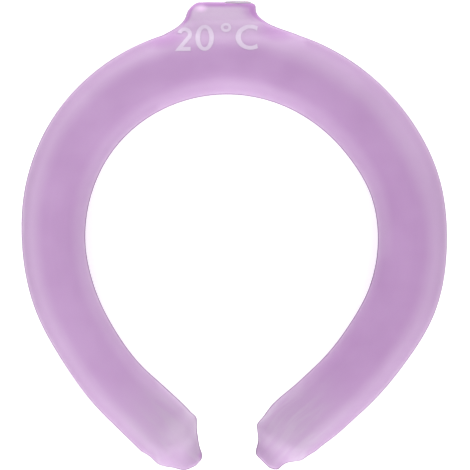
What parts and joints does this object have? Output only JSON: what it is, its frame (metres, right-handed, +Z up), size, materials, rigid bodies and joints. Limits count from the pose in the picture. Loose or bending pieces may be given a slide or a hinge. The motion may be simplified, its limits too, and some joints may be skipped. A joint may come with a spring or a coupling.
{
  "type": "cooling neck wrap",
  "caption": "Open ring of soft frosted plastic tube filled with cooling gel, with pinched ends and a short filling neck closed by a stopper, worn round the neck.",
  "frame": {"origin": "middle of the bounding box on the surface that the ring rests on", "axes": "+Z up from the surface, +Y towards the filling neck at the back of the ring, +X towards the right arm seen from above"},
  "size_m": [0.1804, 0.1992, 0.0249],
  "materials": {
    "frosted_skin": "frosted soft TPU film, lavender, translucent",
    "gel": "milky cooling gel",
    "white_stopper": "white moulded plastic",
    "white_ink": "thin white ink printed on the skin"
  },
  "bodies": {
    "root": {"sleeve": "frosted_skin", "filling": "gel", "stopper": "white_stopper"}
  },
  "joints": []
}
